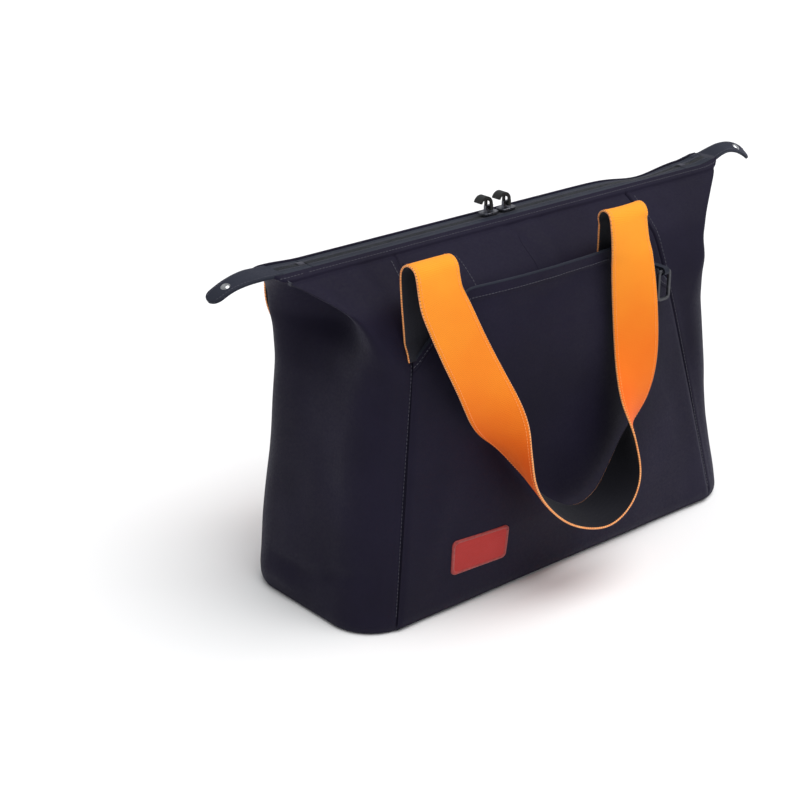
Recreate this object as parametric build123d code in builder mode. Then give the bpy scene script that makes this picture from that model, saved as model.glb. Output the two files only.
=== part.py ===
"""Racket tournament bag: a soft wing-topped tote with a racket sleeve on its front.

Millimetres, +Z up. The origin is the centre of the base on the ground, +X runs along
the bag to the right as seen from the front, and the front looks towards -Y.
"""

import os
from math import cos, radians, sin, tan

from build123d import *

os.makedirs("parts", exist_ok=True)

# Body: four level outlines, joined by straight fabric
base_length = 486.0
base_depth = 180.0
roll_in = 4.0                   # the bottom edge rolls under by this much
roll_height = 6.0
shoulder_height = 250.0
shoulder_length = 430.0
shoulder_depth = 166.0
brow_height = 290.0             # where the upper panel starts to lie back
brow_length = 452.0
brow_depth = 124.0
ridge_height = 322.0
ridge_length = 546.0            # wing tip to wing tip
ridge_depth = 30.0              # width of the flat zip band
corner_radius = 44.0
brow_radius = 30.0
ridge_radius = 6.0
wall = 2.0                      # outer fabric, foam and lining together
base_thickness = 2.4
board_thickness = 3.0
board_margin = 9.0
layer_gap = 0.2                 # air between two layers of one body

# Seams between the front or back panel and the end gussets, as distances from the centre
seam_base_x = 206.0
left_seam_shoulder_x = 182.0
left_seam_top_x = 148.0
right_seam_shoulder_x = 128.0
right_seam_top_x = 134.0

# Racket sleeve on the front
pocket_wall = 1.8
pocket_bottom = 12.0
pocket_full_height = 70.0       # the sleeve is full depth from here up
pocket_notch_height = 247.0     # lower end of each cut corner
pocket_mouth_height = 298.0
pocket_mouth_lean = 4.0         # the mouth stands this much behind the shoulder
pocket_fullness = 12.0          # how far the sleeve stands off the front panel
corner_cut_width = 58.0
binding_height = 6.0
binding_thickness = 0.9

# Zip: two stringers that fold down about the long edges of the mouth
tape_thickness = 1.0
coil_width = 2.6
coil_height = 2.8
chain_gap = 0.3                 # from the centre line to each stringer
seam_gap = 1.0                  # from the mouth's inside face to the fold line
stringer_length = 460.0
zip_end_margin = 5.5            # the fixed ends stop this far inside the wing tips
zip_height = ridge_height - 0.8

# Sliders and pulls
slider_length = 18.0
slider_width = 11.0
slider_thickness = 2.0
slider_clearance = 0.5
meeting_x = -11.0               # the closed sliders meet a little left of the centre
slider_offset = 11.0            # from the meeting place to each slider's middle
bridge_length = 9.0
bridge_width = 3.0
bridge_height = 6.0
pull_hole_radius = 1.8
pull_bar = 2.0
pull_width = 9.0
pull_thickness = 2.4
pull_rise = 5.0                 # each pull stands up, then curls over to the left
pull_curl_radius = 6.5
pull_curl = 165.0
pull_fork_radius = 7.5          # the fork's slot, round the bridge

# Handles: webbing that folds over and hangs in front of and behind the bag
webbing_width = 45.0
webbing_thickness = 2.4
left_fold_x = -172.0
right_fold_x = 55.0
fold_radius = 10.0
fold_height = 324.0             # centre of the front folds
anchor_bottom = 264.0
back_fold_height = 272.0        # the back handle falls over lower down
back_anchor_bottom = 224.0
anchor_gap = 0.4                # between the anchor strand and the turning fold
anchor_foot_gap = 0.5
hang_angle = 7.5                # the hanging loop stands out from the vertical
loop_drop = 258.0
back_loop_drop = 240.0
strand_slant = 25.0             # the left strand runs down and inwards
fold_steps = 6                  # flat facets in each stretch of a handle
strand_steps = 4
twist_steps = 6
loop_steps = 14
twist_start = 0.6               # share of a strand that hangs flat
patch_thickness = 1.0
patch_width = 96.0
patch_shift = 28.0              # each patch reaches further on its inner side
patch_bottom = 268.0
patch_top = 313.0
back_patch_height = 52.0

# Wing tabs with a press stud
tab_width = 20.0
tab_thickness = 2.2
tab_length = 60.0
tab_gap = 1.4
right_tab_angles = (25.0, -38.0)
left_tab_angles = (0.0, -50.0)
stud_radius = 4.0
stud_height = 1.4
stud_post_radius = 1.5

# Key ring on the right seam
ring_width = 17.0
ring_height = 30.0
ring_bar = 3.0
ring_corner = 5.0
ring_stand_off = 4.5
ring_x = 110.0
key_tab_width = 6.0
key_tab_wall = 1.2
key_tab_clearance = 0.5

# Plain label on the sleeve
label_length = 62.0
label_height = 34.0
label_thickness = 1.0
label_x = -118.0
label_z = 56.0
label_corner = 5.0

far = 2.0 * ridge_length        # past everything


def save(piece, name):
    piece.part.label = name
    export_step(piece.part, f"parts/{name}.step")


def front_face(height):
    """Y of the front panel's outer face between the bottom roll and the brow."""
    if height <= shoulder_height:
        share = (height - roll_height) / (shoulder_height - roll_height)
        depth = base_depth + share * (shoulder_depth - base_depth)
    else:
        share = (height - shoulder_height) / (brow_height - shoulder_height)
        depth = shoulder_depth + share * (brow_depth - shoulder_depth)
    return -depth / 2


def body_form(outset):
    """The bag's closed outer form, grown or shrunk sideways by outset."""
    levels = (
        (0.0, base_length - 2 * roll_in, base_depth - 2 * roll_in, corner_radius),
        (roll_height, base_length, base_depth, corner_radius),
        (shoulder_height, shoulder_length, shoulder_depth, corner_radius),
        (brow_height, brow_length, brow_depth, brow_radius),
        (ridge_height, ridge_length, ridge_depth, ridge_radius),
    )
    with BuildPart() as form:
        for height, length, depth, radius in levels:
            with BuildSketch(Plane.XY.offset(height)):
                RectangleRounded(length + 2 * outset, depth + 2 * outset, radius + outset)
        loft(ruled=True)
    return form.part


def seam_prism(depth, both=False):
    """Everything between the two seams, as seen from the front."""
    with BuildPart() as prism:
        with BuildSketch(Plane.XZ):
            with BuildLine():
                Polyline(
                    (-seam_base_x, 0),
                    (seam_base_x, 0),
                    (right_seam_shoulder_x, shoulder_height),
                    (right_seam_top_x, ridge_height + 1),
                    (-left_seam_top_x, ridge_height + 1),
                    (-left_seam_shoulder_x, shoulder_height),
                    close=True,
                )
            make_face()
        extrude(amount=depth, both=both)
    return prism.part


outer_form = body_form(0.0)
inner_form = body_form(-wall)

with BuildPart() as shell:
    add(outer_form)
    add(inner_form, mode=Mode.SUBTRACT)

# Main panels
with BuildPart() as front_panel:
    add(shell.part)
    add(seam_prism(far), mode=Mode.INTERSECT)

with BuildPart() as back_panel:
    add(shell.part)
    add(seam_prism(-far), mode=Mode.INTERSECT)

with BuildPart() as left_gusset:
    add(shell.part)
    add(seam_prism(far, both=True), mode=Mode.SUBTRACT)
    split(bisect_by=Plane.YZ, keep=Keep.BOTTOM)

with BuildPart() as right_gusset:
    add(shell.part)
    add(seam_prism(far, both=True), mode=Mode.SUBTRACT)
    split(bisect_by=Plane.YZ, keep=Keep.TOP)

# Base
floor_length = base_length - 2 * (roll_in + wall + layer_gap)
floor_depth = base_depth - 2 * (roll_in + wall + layer_gap)
floor_corner = corner_radius - wall - layer_gap

with BuildPart() as base_panel:
    with BuildSketch():
        RectangleRounded(floor_length, floor_depth, floor_corner)
    extrude(amount=base_thickness)

with BuildPart() as base_board:
    with BuildSketch(Plane.XY.offset(base_thickness + layer_gap)):
        RectangleRounded(
            floor_length - 2 * board_margin,
            floor_depth - 2 * board_margin,
            floor_corner - board_margin,
        )
    extrude(amount=board_thickness)
    fillet(base_board.edges().group_by(Axis.Z)[-1], board_thickness / 3)


# Racket sleeve
def sleeve_sheet(inner_offset, thickness):
    """A bowed sheet that stands off the front panel, with its top corners cut."""
    notch_y = front_face(pocket_notch_height)
    rows = [
        (pocket_bottom, front_face(pocket_bottom), layer_gap),
        (pocket_full_height, front_face(pocket_full_height), pocket_fullness),
        (pocket_notch_height, notch_y, pocket_fullness),
        (pocket_mouth_height, notch_y + pocket_mouth_lean, pocket_fullness),
    ]
    with BuildPart() as sheet:
        for height, wall_y, fullness in rows:
            share = min(height / shoulder_height, 1.0)
            left = -seam_base_x + share * (seam_base_x - left_seam_shoulder_x)
            right = seam_base_x - share * (seam_base_x - right_seam_shoulder_x)
            edge_y = wall_y - layer_gap - inner_offset
            crest_y = edge_y - fullness
            middle = (left + right) / 2
            with BuildSketch(Plane.XY.offset(height)):
                with BuildLine():
                    ThreePointArc((left, edge_y), (middle, crest_y), (right, edge_y))
                    Line((right, edge_y), (right, edge_y - thickness))
                    ThreePointArc(
                        (right, edge_y - thickness),
                        (middle, crest_y - thickness),
                        (left, edge_y - thickness),
                    )
                    Line((left, edge_y - thickness), (left, edge_y))
                make_face()
        loft(ruled=True)
        with BuildSketch(Plane.XZ):
            with BuildLine():
                Polyline(
                    (-far, pocket_bottom),
                    (far, pocket_bottom),
                    (far, pocket_notch_height),
                    (right_seam_shoulder_x, pocket_notch_height),
                    (right_seam_shoulder_x - corner_cut_width, pocket_mouth_height),
                    (corner_cut_width - left_seam_shoulder_x, pocket_mouth_height),
                    (-left_seam_shoulder_x, pocket_notch_height),
                    (-far, pocket_notch_height),
                    close=True,
                )
            make_face()
        extrude(amount=far, both=True, mode=Mode.INTERSECT)
    return sheet.part


with BuildPart() as racket_sleeve:
    add(sleeve_sheet(0.0, pocket_wall))

with BuildPart() as sleeve_binding:
    add(sleeve_sheet(pocket_wall + layer_gap / 2, binding_thickness))
    with BuildSketch(Plane.XY.offset(pocket_mouth_height - binding_height)):
        Rectangle(far, far)
    extrude(amount=-far, mode=Mode.SUBTRACT)


# Zip
fold_line_y = ridge_depth / 2 - wall - seam_gap
tape_reach = fold_line_y - chain_gap - coil_width

with BuildPart() as zip_tape_front:
    with Locations((0, -fold_line_y, zip_height)):
        Box(
            stringer_length,
            tape_reach,
            tape_thickness,
            align=(Align.CENTER, Align.MIN, Align.CENTER),
        )

with BuildPart() as zip_coil_front:
    with BuildSketch(Plane.YZ):
        with Locations((-chain_gap - coil_width / 2, zip_height)):
            Ellipse(coil_width / 2, coil_height / 2)
    extrude(amount=stringer_length / 2, both=True)

with BuildPart() as zip_tape_back:
    add(mirror(zip_tape_front.part, about=Plane.XZ, mode=Mode.PRIVATE))

with BuildPart() as zip_coil_back:
    add(mirror(zip_coil_front.part, about=Plane.XZ, mode=Mode.PRIVATE))

zip_end_start = stringer_length / 2 + 2 * layer_gap
zip_end_stop = ridge_length / 2 - zip_end_margin
zip_end_length = zip_end_stop - zip_end_start
zip_end_width = ridge_depth - 2 * wall - 2 * layer_gap

with BuildPart() as zip_end_right:
    with Locations((zip_end_start, 0, zip_height)):
        Box(
            zip_end_length,
            zip_end_width,
            tape_thickness,
            align=(Align.MIN, Align.CENTER, Align.CENTER),
        )
    with BuildSketch(Plane.YZ.offset(zip_end_start)):
        with Locations((0, zip_height)):
            Ellipse(chain_gap + coil_width, coil_height / 2)
    extrude(amount=zip_end_length)
    tape_end = zip_end_right.faces().sort_by(Axis.X)[-1].edges().filter_by(Axis.Z)
    fillet(tape_end.sort_by(Axis.Y)[0], ridge_radius - wall)
    fillet(zip_end_right.edges().filter_by(Axis.Z).sort_by(Axis.Y)[-1], ridge_radius - wall)

with BuildPart() as zip_end_left:
    add(mirror(zip_end_right.part, about=Plane.YZ, mode=Mode.PRIVATE))


# Sliders and pulls
slider_bottom = zip_height + coil_height / 2 + slider_clearance
bridge_base = slider_bottom + slider_thickness
pull_pivot_height = bridge_base + bridge_height / 2


def make_slider(x):
    with BuildPart() as slider:
        with BuildSketch(Plane.XY.offset(slider_bottom)):
            with Locations((x, 0)):
                RectangleRounded(slider_length, slider_width, slider_width / 3)
        extrude(amount=slider_thickness)
        fillet(slider.edges().group_by(Axis.Z)[-1], slider_thickness / 4)
        with BuildSketch(Plane.XZ):
            with Locations((x, bridge_base)):
                Rectangle(bridge_length, bridge_height, align=(Align.CENTER, Align.MIN))
            with Locations((x, pull_pivot_height)):
                Circle(pull_hole_radius, mode=Mode.SUBTRACT)
        extrude(amount=bridge_width / 2, both=True)
    return slider


def make_pull(x):
    """A curled pull whose bar lies in the bridge's hole."""
    z = pull_pivot_height
    with BuildPart() as pull:
        with BuildSketch(Plane.XZ):
            with BuildLine():
                Line((x, z), (x, z + pull_rise))
                CenterArc((x - pull_curl_radius, z + pull_rise), pull_curl_radius, 0, pull_curl)
            trace(line_width=pull_thickness)
        extrude(amount=pull_width / 2, both=True)
        with BuildSketch(Plane.XZ):
            with Locations((x, z)):
                Circle(pull_fork_radius)
        extrude(amount=pull_width / 2 - pull_bar, both=True, mode=Mode.SUBTRACT)
        with BuildSketch(Plane.XZ):
            with Locations((x, z)):
                Rectangle(pull_bar, pull_bar)
        extrude(amount=pull_width / 2, both=True)
    return pull


left_slider_x = meeting_x - slider_offset
right_slider_x = meeting_x + slider_offset
slider_left = make_slider(left_slider_x)
slider_right = make_slider(right_slider_x)
pull_left = make_pull(left_slider_x)
pull_right = make_pull(right_slider_x)


# Webbing
def ribbon(stations, width, thickness):
    """A flat strap through the stations, each a plane square to the strap."""
    with BuildPart() as strap:
        for station in stations:
            with BuildSketch(station):
                Rectangle(width, thickness)
        loft(ruled=True)
    return strap.part


def standing_face(bottom):
    """Front of an upright strap end that stands close to the panel from bottom up."""
    return front_face(bottom) - anchor_foot_gap - webbing_thickness


hang = radians(hang_angle)
slant = radians(strand_slant)
down = Vector(0, -sin(hang), -cos(hang))
outward = Vector(0, -cos(hang), sin(hang))
across = Vector(1, 0, 0)


def make_handle(bottom, fold_z, drop):
    """The hanging part of a front handle: two folds, two strands and a loop.

    The fold turns about a line just in front of the upright ends, so the whole part
    can be lifted about that line. The loop is the circle that touches both strands
    and reaches drop below the folds.
    """
    fold_y = standing_face(bottom) - anchor_gap - webbing_thickness / 2 - fold_radius
    fold_end = Vector(0, fold_y - fold_radius * cos(hang), fold_z + fold_radius * sin(hang))
    wedge = right_fold_x - left_fold_x - drop * tan(slant)
    loop_radius = wedge * cos(slant) / (1 + (1 - tan(slant)) * cos(slant))
    loop_x = right_fold_x - loop_radius
    loop_centre_drop = drop - loop_radius
    left_end_x = loop_x - loop_radius * cos(slant)
    left_end_drop = loop_centre_drop + loop_radius * sin(slant)

    def over_fold(x, turn, facing):
        """A station on a fold. turn is 0 at the back, facing is -1 on the right fold."""
        place = (x, fold_y + fold_radius * cos(turn), fold_z + fold_radius * sin(turn))
        run = Vector(0, -sin(turn), cos(turn)) * facing
        return Plane(origin=place, x_dir=across * facing, z_dir=run)

    def hanging(x, fall, heading, twist):
        """A station in the loop.

        heading is 0 straight down and 180 straight up, and twist turns the webbing
        from facing outwards (0) to standing edge-on (90).
        """
        run = across * sin(radians(heading)) + down * cos(radians(heading))
        side = across * cos(radians(heading)) - down * sin(radians(heading))
        flat = side * cos(radians(twist)) + outward * sin(radians(twist))
        return Plane(origin=fold_end + across * x + down * fall, x_dir=flat, z_dir=run)

    def left_strand(share, twist):
        x = left_fold_x + share * (left_end_x - left_fold_x)
        heading = strand_slant * min(1.0, 4 * share)
        return hanging(x, share * left_end_drop, heading, twist)

    def right_strand(share, twist):
        return hanging(right_fold_x, share * loop_centre_drop, 180, twist)

    def round_loop(heading):
        x = loop_x - loop_radius * cos(radians(heading))
        fall = loop_centre_drop + loop_radius * sin(radians(heading))
        return hanging(x, fall, heading, 90)

    turns = [radians(180 - hang_angle) * step / fold_steps for step in range(fold_steps + 1)]
    flat_shares = [twist_start * step / strand_steps for step in range(1, strand_steps)]
    twists = [step / twist_steps for step in range(twist_steps + 1)]
    twisting = [(twist_start + (1 - twist_start) * part, 90 * part) for part in twists]
    headings = [
        strand_slant + (180 - strand_slant) * step / loop_steps for step in range(1, loop_steps)
    ]
    stations = [over_fold(left_fold_x, turn, 1) for turn in turns]
    stations += [left_strand(share, 0) for share in flat_shares]
    stations += [left_strand(share, twist) for share, twist in twisting]
    stations += [round_loop(heading) for heading in headings]
    stations += [right_strand(share, twist) for share, twist in reversed(twisting)]
    stations += [right_strand(share, 0) for share in reversed(flat_shares)]
    stations += [over_fold(right_fold_x, turn, -1) for turn in reversed(turns)]
    return ribbon(stations, webbing_width, webbing_thickness)


def make_anchor(x, bottom, top):
    """The upright end of a handle, up to the fold."""
    with BuildPart() as anchor:
        with Locations((x, standing_face(bottom), bottom)):
            Box(
                webbing_width,
                webbing_thickness,
                top - bottom,
                align=(Align.CENTER, Align.MIN, Align.MIN),
            )
    return anchor.part


def make_patch(x, bottom, top):
    """A reinforcement patch sewn on a panel behind a handle end."""
    with BuildPart() as patch:
        add(body_form(layer_gap / 2 + patch_thickness))
        add(body_form(layer_gap / 2), mode=Mode.SUBTRACT)
        with BuildSketch(Plane.XZ):
            with Locations((x, (bottom + top) / 2)):
                Rectangle(patch_width, top - bottom)
        extrude(amount=far, mode=Mode.INTERSECT)
        add(seam_prism(far), mode=Mode.INTERSECT)
    return patch.part


with BuildPart() as handle_front:
    add(make_handle(anchor_bottom, fold_height, loop_drop))

with BuildPart() as handle_back:
    back_handle = make_handle(back_anchor_bottom, back_fold_height, back_loop_drop)
    add(mirror(back_handle, about=Plane.XZ, mode=Mode.PRIVATE))

strap_ends = {}
for side, fold_x, inward in (("left", left_fold_x, 1), ("right", right_fold_x, -1)):
    patch_x = fold_x + inward * patch_shift
    with BuildPart() as front_anchor:
        add(make_anchor(fold_x, anchor_bottom, fold_height))
    with BuildPart() as front_patch:
        add(make_patch(patch_x, patch_bottom, patch_top))
    with BuildPart() as back_anchor:
        sewn_end = make_anchor(fold_x, back_anchor_bottom, back_fold_height)
        add(mirror(sewn_end, about=Plane.XZ, mode=Mode.PRIVATE))
    with BuildPart() as back_patch:
        patch_foot = back_anchor_bottom - back_patch_height
        sewn_patch = make_patch(patch_x, patch_foot, back_anchor_bottom)
        add(mirror(sewn_patch, about=Plane.XZ, mode=Mode.PRIVATE))
    strap_ends[f"anchor_front_{side}"] = front_anchor
    strap_ends[f"patch_front_{side}"] = front_patch
    strap_ends[f"anchor_back_{side}"] = back_anchor
    strap_ends[f"patch_back_{side}"] = back_patch


# Wing tabs
def tab_stations(angles, steps=7):
    """Planes along a curled tab that starts at the right wing tip."""
    first, last = (radians(angle) for angle in angles)
    x = ridge_length / 2 + tab_gap
    z = zip_height
    planes = []
    for step in range(steps + 1):
        slope = first + (last - first) * step / steps
        run = (cos(slope), 0, sin(slope))
        planes.append(Plane(origin=(x, 0, z), x_dir=(0, 1, 0), z_dir=run))
        x += tab_length / steps * cos(slope + (last - first) / steps / 2)
        z += tab_length / steps * sin(slope + (last - first) / steps / 2)
    return planes


def stud_plane(stations):
    """The place of the press stud, square to the tab three quarters along it."""
    before, after = stations[-3], stations[-2]
    run = (after.origin - before.origin).normalized()
    middle = (before.origin + after.origin) / 2
    return Plane(origin=middle, x_dir=run, z_dir=Vector(-run.Z, 0, run.X))


def make_tab(angles):
    stations = tab_stations(angles)
    with BuildPart() as tab:
        add(ribbon(stations, tab_width, tab_thickness))
        with BuildSketch(stud_plane(stations)):
            Circle(stud_post_radius + layer_gap / 2)
        extrude(amount=2 * tab_thickness, both=True, mode=Mode.SUBTRACT)
    return tab.part


def make_stud(angles):
    place = stud_plane(tab_stations(angles))
    seat = tab_thickness / 2 + layer_gap / 2
    with BuildPart() as stud:
        with BuildSketch(place):
            Circle(stud_post_radius)
        extrude(amount=seat, both=True)
        with BuildSketch(place.offset(seat)):
            Circle(stud_radius)
        extrude(amount=stud_height)
        with BuildSketch(place.offset(-seat)):
            Circle(stud_radius)
        extrude(amount=-stud_height)
    return stud.part


with BuildPart() as tab_right:
    add(make_tab(right_tab_angles))

with BuildPart() as stud_right:
    add(make_stud(right_tab_angles))

with BuildPart() as tab_left:
    add(mirror(make_tab(left_tab_angles), about=Plane.YZ, mode=Mode.PRIVATE))

with BuildPart() as stud_left:
    add(mirror(make_stud(left_tab_angles), about=Plane.YZ, mode=Mode.PRIVATE))


# Key ring
sleeve_crest_y = front_face(pocket_notch_height) - 2 * layer_gap - pocket_fullness - pocket_wall
ring_y = sleeve_crest_y - ring_stand_off + pocket_fullness / 2
key_tab_inner = ring_bar * 0.71 + key_tab_clearance
key_tab_outer = key_tab_inner + key_tab_wall

# The webbing tab closes round the ring's top bar and runs back to the front panel just
# above the sleeve's cut corner
cut_slope = (pocket_mouth_height - pocket_notch_height) / corner_cut_width
cut_edge = pocket_notch_height + cut_slope * (
    right_seam_shoulder_x - ring_x + key_tab_width / 2
)
key_tab_foot = cut_edge + key_tab_clearance
key_tab_top = key_tab_foot + 2 * key_tab_wall
key_tab_foot_y = front_face(key_tab_foot) - layer_gap
ring_pivot_height = key_tab_top - key_tab_outer
ring_top = ring_pivot_height + ring_bar / 2

with BuildPart() as key_ring:
    with BuildSketch(Plane.XZ.offset(-ring_y)):
        with Locations((ring_x, ring_top - ring_height / 2)):
            RectangleRounded(ring_width, ring_height, ring_corner)
            RectangleRounded(
                ring_width - 2 * ring_bar,
                ring_height - 2 * ring_bar,
                ring_corner - ring_bar,
                mode=Mode.SUBTRACT,
            )
    extrude(amount=ring_bar / 2, both=True)
    fillet(key_ring.faces().filter_by(Axis.Y).edges(), ring_bar / 4)

with BuildPart() as key_tab:
    with BuildSketch(Plane.YZ.offset(ring_x)):
        with Locations((ring_y, ring_pivot_height)):
            Circle(key_tab_outer)
        with Locations((ring_y, key_tab_top)):
            Rectangle(
                key_tab_foot_y - ring_y,
                2 * key_tab_wall,
                align=(Align.MIN, Align.MAX),
            )
        with Locations((ring_y, ring_pivot_height)):
            Circle(key_tab_inner, mode=Mode.SUBTRACT)
    extrude(amount=key_tab_width / 2, both=True)

# Label
with BuildPart() as front_label:
    add(sleeve_sheet(pocket_wall + layer_gap / 2, label_thickness))
    with BuildSketch(Plane.XZ):
        with Locations((label_x, label_z)):
            RectangleRounded(label_length, label_height, label_corner)
    extrude(amount=far, mode=Mode.INTERSECT)

pieces = {
    "front_panel": front_panel,
    "back_panel": back_panel,
    "left_gusset": left_gusset,
    "right_gusset": right_gusset,
    "base_panel": base_panel,
    "base_board": base_board,
    "racket_sleeve": racket_sleeve,
    "sleeve_binding": sleeve_binding,
    "zip_tape_front": zip_tape_front,
    "zip_tape_back": zip_tape_back,
    "zip_coil_front": zip_coil_front,
    "zip_coil_back": zip_coil_back,
    "zip_end_left": zip_end_left,
    "zip_end_right": zip_end_right,
    "slider_left": slider_left,
    "slider_right": slider_right,
    "pull_left": pull_left,
    "pull_right": pull_right,
    "handle_front": handle_front,
    "handle_back": handle_back,
    "tab_left": tab_left,
    "tab_right": tab_right,
    "stud_left": stud_left,
    "stud_right": stud_right,
    "key_ring": key_ring,
    "key_tab": key_tab,
    "front_label": front_label,
}

pieces.update(strap_ends)

for name, piece in pieces.items():
    save(piece, name)
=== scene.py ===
"""Looks for the racket tournament bag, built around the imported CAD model.

Metres, +Z up. The front of the bag looks towards -Y, and +X is to its right. Sizes are
written in millimetres and multiplied by MM.
"""
from math import asin, cos, pi, radians, sin

import bpy
import numpy as np
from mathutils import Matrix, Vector, noise


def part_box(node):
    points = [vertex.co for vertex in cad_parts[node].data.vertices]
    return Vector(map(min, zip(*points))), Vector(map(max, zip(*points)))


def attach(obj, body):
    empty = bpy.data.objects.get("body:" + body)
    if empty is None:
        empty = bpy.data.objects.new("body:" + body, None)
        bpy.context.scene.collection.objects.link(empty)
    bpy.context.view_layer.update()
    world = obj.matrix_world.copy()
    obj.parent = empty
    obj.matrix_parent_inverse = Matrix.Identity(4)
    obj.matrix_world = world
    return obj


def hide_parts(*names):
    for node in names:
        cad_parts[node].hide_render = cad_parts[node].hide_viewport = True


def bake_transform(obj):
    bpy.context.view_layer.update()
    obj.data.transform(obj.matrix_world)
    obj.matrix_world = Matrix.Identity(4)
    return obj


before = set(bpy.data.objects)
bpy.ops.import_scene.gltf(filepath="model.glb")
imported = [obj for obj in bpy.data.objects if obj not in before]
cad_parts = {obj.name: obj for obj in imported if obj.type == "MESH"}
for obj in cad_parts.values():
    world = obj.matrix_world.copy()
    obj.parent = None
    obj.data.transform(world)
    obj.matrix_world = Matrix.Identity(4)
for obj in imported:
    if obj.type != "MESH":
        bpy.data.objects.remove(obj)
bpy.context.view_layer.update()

MM = 0.001

# ---------------------------------------------------------------- sizes from the frame
tape_low, tape_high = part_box("zip_tape_front")
SLEEVE_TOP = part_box("racket_sleeve")[1].z
ZIP_Z = (tape_low.z + tape_high.z) / 2
STRINGER_HALF = tape_high.x
FOLD_LINE_Y = -tape_low.y

# Body, as (height, half length, half depth, corner radius, depth of the end pleat), mm
BODY_LEVELS = (
    (0, 243, 90, 44, 0),
    (60, 235, 89, 45, 0),
    (125, 227, 87.5, 46, 0),
    (215, 220, 84.5, 40, 3),
    (244, 215, 83, 24, 12),
    (258, 215, 79.5, 9, 24),
    (275, 219, 70.5, 5, 32),
    (290, 228, 62, 4, 34),
    (306, 247, 39.5, 3.5, 24),
    (316, 262, 24, 3.5, 8),
    (322, 273, 15, 5, 0),
)
LEFT_SEAM = ((0, 206), (250, 182), (323, 148))
RIGHT_SEAM = ((0, 206), (250, 128), (323, 134))
RIGHT_TUCK = ((0, 0), (30, 4), (90, 13), (200, 20), (255, 23), (275, 25), (292, 20), (306, 10),
              (316, 2), (322, 0))
WALL = 2.0 * MM
ROLL = 12.0                     # height of the rolled bottom edge, mm
ROLL_INSET = 5.0
ROLL_ROWS = 9                   # rows of the grid below the top of the rolled edge
TOP_BAND_Z = 317.2              # lower edge of the doubled band under the zip, mm

# Racket sleeve, mm
SLEEVE_FOOT = 5.0
SLEEVE_FULL = 70.0
SLEEVE_NOTCH = 247.0
SLEEVE_MOUTH = 298.0            # height at which the sleeve's lean is full
SLEEVE_CUT = 58.0
SLEEVE_BOW = 12.0
SLEEVE_LEAN = 4.0
SLEEVE_WALL = 1.8
HEM = 10.0
HEM_STITCH = 2.2                # the row of stitches, from the hem's lower edge

# Webbing, mm
WEBBING = 45.0
WEBBING_THICK = 1.9
FOLD_RADIUS = 10.0
HANG = radians(7.5)
STRAP_SPREAD = 225              # from the left strand of a handle to the right one

# Stitches: (pitch, length, thread radius), metres
PANEL_STITCH = (3.6 * MM, 2.7 * MM, 0.3 * MM)
SEWN_STITCH = (3.4 * MM, 2.6 * MM, 0.3 * MM)
WEBBING_STITCH = (3.0 * MM, 2.3 * MM, 0.27 * MM)
TAB_STITCH = (3.0 * MM, 2.3 * MM, 0.26 * MM)
TAPE_STITCH = (2.4 * MM, 1.8 * MM, 0.22 * MM)
STITCH_RISE = (-0.2, 0.45, 0.45, -0.2)  # height along a stitch, of its thread radius
TUBE_TIP = 0.35                 # radius of a tube's two ends, of its own radius


# ---------------------------------------------------------------- small helpers
def smoothstep(low, high, value):
    share = np.clip((value - low) / (high - low), 0.0, 1.0)
    return share * share * (3 - 2 * share)


def hump(centre, spread, value):
    return np.exp(-(((value - centre) / spread) ** 2))


def soft_table(rows, spread=5.0):
    """A function through (place, value) rows whose corners are rounded over spread."""
    places, values = (np.array(column, float) for column in zip(*rows))
    reach = 4 * spread
    fine = np.linspace(places[0] - reach, places[-1] + reach, 900)
    straight = np.interp(fine, places, values)
    first = (values[1] - values[0]) / (places[1] - places[0])
    last = (values[-1] - values[-2]) / (places[-1] - places[-2])
    before, after = fine < places[0], fine > places[-1]
    straight[before] = values[0] + first * (fine[before] - places[0])
    straight[after] = values[-1] + last * (fine[after] - places[-1])
    weights = np.exp(-0.5 * ((fine[:, None] - fine[None, :]) / spread) ** 2)
    soft = (weights @ straight) / weights.sum(axis=1)
    return lambda place: np.interp(place, fine, soft)


def spline(points, count):
    """Evenly spaced points on a Catmull-Rom curve through rows of any width."""
    rows = np.array(points, float)
    ends = np.vstack([2 * rows[0] - rows[1], rows, 2 * rows[-1] - rows[-2]])
    pieces = []
    for index in range(len(rows) - 1):
        a, b, c, d = ends[index:index + 4]
        t = np.linspace(0, 1, 24, endpoint=False)[:, None]
        pieces.append(
            0.5 * (2 * b + (c - a) * t + (2 * a - 5 * b + 4 * c - d) * t**2
                   + (3 * b - a - 3 * c + d) * t**3)
        )
    dense = np.vstack(pieces + [rows[-1:]])
    return resample(dense, np.linspace(0, 1, count))


def run_of(path):
    """The length along a path up to each of its points."""
    return np.concatenate([[0], np.cumsum(np.linalg.norm(np.diff(path, axis=0), axis=1))])


def resample(path, shares):
    """Points at the given shares of a path's length. Only x, y and z count as length."""
    along = run_of(path[:, :3])
    along /= along[-1]
    return np.stack([np.interp(shares, along, path[:, k]) for k in range(path.shape[1])], 1)


def edge_shares(count, width, both=True):
    """Shares from 0 to 1 that crowd towards the seams, for a strip of that width in mm."""
    near = np.array([0, 0.5, 1.1, 1.8, 2.8, 4.2]) / width
    far = 1 - near[::-1] if both else np.array([1.0])
    middle = np.linspace(near[-1], far[0], count - len(near) - len(far) + 2)[1:-1]
    return np.concatenate([near, middle, far])


def unit(vectors):
    return vectors / np.maximum(np.linalg.norm(vectors, axis=-1, keepdims=True), 1e-12)


def ripple(points, size, height):
    """Gentle uneven cloth, the same at each run. size is in metres."""
    flat = points.reshape(-1, 3)
    stretch = np.array([1.0, 1.0, 0.6]) / size
    values = [noise.noise(Vector(p * stretch)) for p in flat]
    return np.array(values).reshape(points.shape[:-1]) * height


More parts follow.
